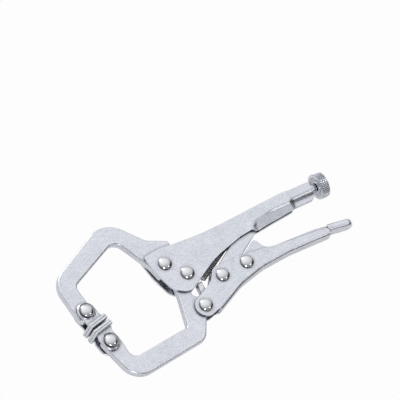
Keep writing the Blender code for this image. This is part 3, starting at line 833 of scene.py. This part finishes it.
# ---------------------------------------------------------------- swivel pads
class PLIERS_OT_swivel_pads(bpy.types.Operator):
    """Build the two swivel pads: ears, base and clamping plate"""
    bl_idname = "pliers.swivel_pads"
    bl_label = "Swivel pads"

    tilt = 11.4
    length = 12.4
    ear = 5.4
    ear_sheet = 1.35
    base = 1.5
    plate_thickness = 1.7
    seam = 0.10
    face_gap = 0.8
    ear_gap = 0.25
    ear_inset = 0.9
    ear_lap = 0.3
    ring_radius = 4.72
    ring_wire = 0.42

    def execute(self, context):
        pivots = [from_pivot(joint_place(name + "_swivel")).xy
                  for name in ("fixed_pad", "movable_pad")]
        slope = math.radians(self.tilt)
        normal = Vector((-math.sin(slope), math.cos(slope)))
        depth = ((pivots[0] - pivots[1]).dot(normal) - self.face_gap) / 2
        for name, shift, turn in (("fixed_pad", 0.0, self.tilt),
                                  ("movable_pad", -1.2, self.tilt + 180.0)):
            centre = joint_place(name + "_swivel")
            self.one_pad(name, centre, depth, shift, turn)
        return {"FINISHED"}

    def one_pad(self, name, centre, depth, shift, turn):
        left, right = shift - self.length / 2, shift + self.length / 2
        foot = -depth + self.plate_thickness + self.seam
        shoulder = foot + self.base
        inner = JAW_HALF + self.ear_gap
        near, far, ear = left + self.ear_inset, right - self.ear_inset, self.ear
        outline = [(near, foot + self.ear_lap, 0.0), (far, foot + self.ear_lap, 0.0),
                   (far, shoulder + 0.6, 1.4), (ear - 0.2, shoulder + 2.4, 2.0),
                   (ear, ear, ear - 0.1), (-ear, ear, ear - 0.1),
                   (-ear + 0.2, shoulder + 2.4, 2.0), (near, shoulder + 0.6, 1.4)]
        works = []
        for side in (-1, 1):
            low, high = sorted((side * inner, side * (inner + self.ear_sheet)))
            works.append(plate(outline, low, high, 0.0004))
            works.append(self.ring(high if side > 0 else low))
        works.append(self.block(left, right, foot, shoulder, shoulder))
        clevis = self.set_down(join(*works), centre, turn)
        face = self.set_down(self.block(left, right, -depth, foot - self.seam, -depth),
                             centre, turn)
        for work, end, node in ((clevis, "_ears", "_clevis"), (face, "_face", "_plate")):
            keep_flats_flat(deliver(work, name + end, name, [name + node], "pad_plate", 45.0))

    def block(self, left, right, low, high, outer):
        """A flat block of the pad, across the jaws, well rounded round its outer side."""
        work = flat_shape([(left, low, 0.0), (right, low, 0.0), (right, high, 0.0),
                           (left, high, 0.0)], -PAD_HALF)
        thicken(work, 2 * PAD_HALF)
        round_edges = [edge for edge in work.edges
                       if all(abs(from_pivot(vert.co).y - outer) < 0.01 for vert in edge.verts)]
        soften(work, round_edges, 0.0007, 4)
        other_edges = [edge for edge in work.edges if edge.calc_face_angle(0.0) > 1.0]
        soften(work, other_edges, 0.00018, 2)
        return work

    def ring(self, level):
        """The raised rim round the rivet on one ear."""
        wire = [(level + self.ring_wire * math.cos(turn),
                 self.ring_radius + self.ring_wire * math.sin(turn))
                for turn in (math.radians(45.0 * i) for i in range(9))]
        return turned(wire, PIVOT, (0, 0, 1), 48)

    def set_down(self, work, centre, turn):
        """Move a pad from the jaw pivot, where it is drawn, to its own rivet."""
        lean = Matrix.Rotation(math.radians(turn), 4, "Z")
        matrix = Matrix.Translation(centre) @ lean @ Matrix.Translation(-PIVOT)
        bmesh.ops.transform(work, matrix=matrix, verts=work.verts)
        return work


# ---------------------------------------------------------------- stage
class PLIERS_OT_stage(bpy.types.Operator):
    """Build the floor, the studio light and the camera"""
    bl_idname = "pliers.stage"
    bl_label = "Stage"

    right = (0.8065, -0.5210, 0.2790)
    up = (0.3647, 0.8103, 0.4590)
    scale = 1.84
    aim = (30.18, 34.5, 5.0)
    distance = 10.0
    sensor = 36.0
    frame_width = 400.0
    paper_glow = 0.40
    paper_glow_seen = 0.57

    def execute(self, context):
        self.floor(context)
        self.sky(context)
        self.lights(context)
        self.camera(context)
        context.scene.view_settings.view_transform = "Standard"
        return {"FINISHED"}

    def floor(self, context):
        work = bmesh.new()
        bmesh.ops.create_grid(work, x_segments=1, y_segments=1, size=2.5)
        mesh = bpy.data.meshes.new("floor")
        work.to_mesh(mesh)
        work.free()
        piece = bpy.data.objects.new("floor", mesh)
        context.scene.collection.objects.link(piece)
        material = bpy.data.materials.new("floor_paper")
        material.use_nodes = True
        tree = material.node_tree
        tree.nodes.remove(tree.nodes["Principled BSDF"])
        output = tree.nodes["Material Output"]
        paper = new_node(tree, "ShaderNodeBsdfDiffuse", (-400, -100))
        paper.inputs["Color"].default_value = (0.62, 0.62, 0.64, 1.0)
        glow = new_node(tree, "ShaderNodeEmission", (-400, 100))
        glow.inputs["Color"].default_value = (1.0, 1.0, 1.0, 1.0)
        path = new_node(tree, "ShaderNodeLightPath", (-600, 300))
        share = new_node(tree, "ShaderNodeMath", (-400, 300), operation="MULTIPLY_ADD")
        share.inputs[1].default_value = self.paper_glow_seen
        share.inputs[2].default_value = self.paper_glow
        both = new_node(tree, "ShaderNodeMixShader", (-150, 0))
        tree.links.new(path.outputs["Is Camera Ray"], share.inputs[0])
        tree.links.new(share.outputs[0], both.inputs["Fac"])
        tree.links.new(paper.outputs["BSDF"], both.inputs[1])
        tree.links.new(glow.outputs["Emission"], both.inputs[2])
        tree.links.new(both.outputs["Shader"], output.inputs["Surface"])
        mesh.materials.append(material)

    def sky(self, context):
        """A pale room: bright overhead, dimmer at the horizon, with one dark side."""
        world = bpy.data.worlds.new("studio")
        context.scene.world = world
        world.use_nodes = True
        tree = world.node_tree
        back = tree.nodes["Background"]
        where = new_node(tree, "ShaderNodeTexCoord", (-1000, 0))
        split = new_node(tree, "ShaderNodeSeparateXYZ", (-800, 100))
        ramp = new_node(tree, "ShaderNodeValToRGB", (-600, 100))
        stops = ramp.color_ramp.elements
        stops[0].position, stops[0].color = 0.0, (0.45, 0.455, 0.47, 1.0)
        stops[1].position, stops[1].color = 1.0, (1.25, 1.26, 1.29, 1.0)
        for position, level in ((0.30, 0.66), (0.62, 0.98), (0.84, 1.16)):
            stops.new(position).color = (level, level * 1.01, level * 1.035, 1.0)
        side = new_node(tree, "ShaderNodeMapRange", (-600, -400))
        side.inputs["From Min"].default_value = -0.50
        side.inputs["From Max"].default_value = 0.90
        side.inputs["To Min"].default_value = 0.36
        side.inputs["To Max"].default_value = 1.32
        both = new_node(tree, "ShaderNodeMath", (-450, -250), operation="MULTIPLY")
        towards = new_node(tree, "ShaderNodeVectorMath", (-800, -150), operation="DOT_PRODUCT")
        towards.inputs[1].default_value = (0.90, -0.42, 0.10)
        dim = new_node(tree, "ShaderNodeMapRange", (-600, -150))
        dim.inputs["From Min"].default_value = 0.72
        dim.inputs["From Max"].default_value = 0.90
        dim.inputs["To Min"].default_value = 1.0
        dim.inputs["To Max"].default_value = 0.05
        shade = new_node(tree, "ShaderNodeVectorMath", (-300, 0), operation="SCALE")
        link = tree.links.new
        link(where.outputs["Generated"], split.inputs[0])
        link(where.outputs["Generated"], towards.inputs[0])
        link(split.outputs["Z"], ramp.inputs["Fac"])
        link(towards.outputs["Value"], dim.inputs["Value"])
        link(ramp.outputs["Color"], shade.inputs[0])
        link(split.outputs["Y"], side.inputs["Value"])
        link(dim.outputs["Result"], both.inputs[0])
        link(side.outputs["Result"], both.inputs[1])
        link(both.outputs[0], shade.inputs["Scale"])
        link(shade.outputs["Vector"], back.inputs["Color"])
        back.inputs["Strength"].default_value = 0.78

    def lights(self, context):
        target = place(20.0, 0.0, 0.0)
        for name, direction, distance, size, power in (
                ("key", (-0.60, -0.70, 0.42), 0.9, 0.30, 1.6),
                ("top", (-0.10, 0.92, 0.38), 1.0, 0.40, 2.0),
                ("fold", (0.45, -0.50, 0.72), 1.0, 0.25, 0.32)):
            lamp = bpy.data.lights.new(name, "AREA")
            lamp.size = size
            lamp.energy = power
            lamp_object = bpy.data.objects.new(name, lamp)
            context.scene.collection.objects.link(lamp_object)
            direction = Vector(direction).normalized()
            lamp_object.location = target + direction * distance
            lamp_object.rotation_euler = direction.to_track_quat("Z", "Y").to_euler()

    def camera(self, context):
        right, up = Vector(self.right).normalized(), Vector(self.up).normalized()
        back = right.cross(up).normalized()
        camera = bpy.data.cameras.new("camera")
        camera.sensor_width = self.sensor
        camera.lens = self.sensor * self.scale * self.distance / MM / self.frame_width
        camera.clip_end = 20.0
        holder = bpy.data.objects.new("camera", camera)
        context.scene.collection.objects.link(holder)
        turn = Matrix((right, up, back)).transposed().to_4x4()
        holder.matrix_world = Matrix.Translation(place(*self.aim) + back * self.distance) @ turn
        context.scene.camera = holder


# ---------------------------------------------------------------- panel and registration
OPERATORS = (
    PLIERS_OT_jaws, PLIERS_OT_toggle_link, PLIERS_OT_upper_handle, PLIERS_OT_lower_handle,
    PLIERS_OT_release_lever, PLIERS_OT_rivets, PLIERS_OT_adjusting_screw,
    PLIERS_OT_adjusting_knob, PLIERS_OT_return_spring, PLIERS_OT_swivel_pads, PLIERS_OT_stage)


class PLIERS_PT_panel(bpy.types.Panel):
    """Lists the pliers' pieces and their sizes"""
    bl_idname = "PLIERS_PT_panel"
    bl_label = "Pliers"
    bl_space_type = "VIEW_3D"
    bl_region_type = "UI"
    bl_category = "Pliers"

    def draw(self, context):
        for group in (context.scene.pliers_sizes, context.scene.pliers_colours):
            for name in group.__annotations__:
                self.layout.prop(group, name)
        for operator in OPERATORS:
            self.layout.operator(operator.bl_idname)


CLASSES = (PliersSizes, PliersColours, *OPERATORS, PLIERS_PT_panel)


def register():
    for cls in CLASSES:
        bpy.utils.register_class(cls)
    bpy.types.Scene.pliers_sizes = PointerProperty(type=PliersSizes)
    bpy.types.Scene.pliers_colours = PointerProperty(type=PliersColours)


def unregister():
    del bpy.types.Scene.pliers_colours
    del bpy.types.Scene.pliers_sizes
    for cls in reversed(CLASSES):
        bpy.utils.unregister_class(cls)


def main():
    register()
    bpy.ops.pliers.jaws()
    bpy.ops.pliers.toggle_link()
    bpy.ops.pliers.upper_handle()
    bpy.ops.pliers.lower_handle()
    bpy.ops.pliers.release_lever()
    bpy.ops.pliers.rivets()
    bpy.ops.pliers.adjusting_screw()
    bpy.ops.pliers.adjusting_knob()
    bpy.ops.pliers.return_spring()
    bpy.ops.pliers.swivel_pads()
    bpy.ops.pliers.stage()
    bpy.context.view_layer.update()


if __name__ == "__main__":
    main()
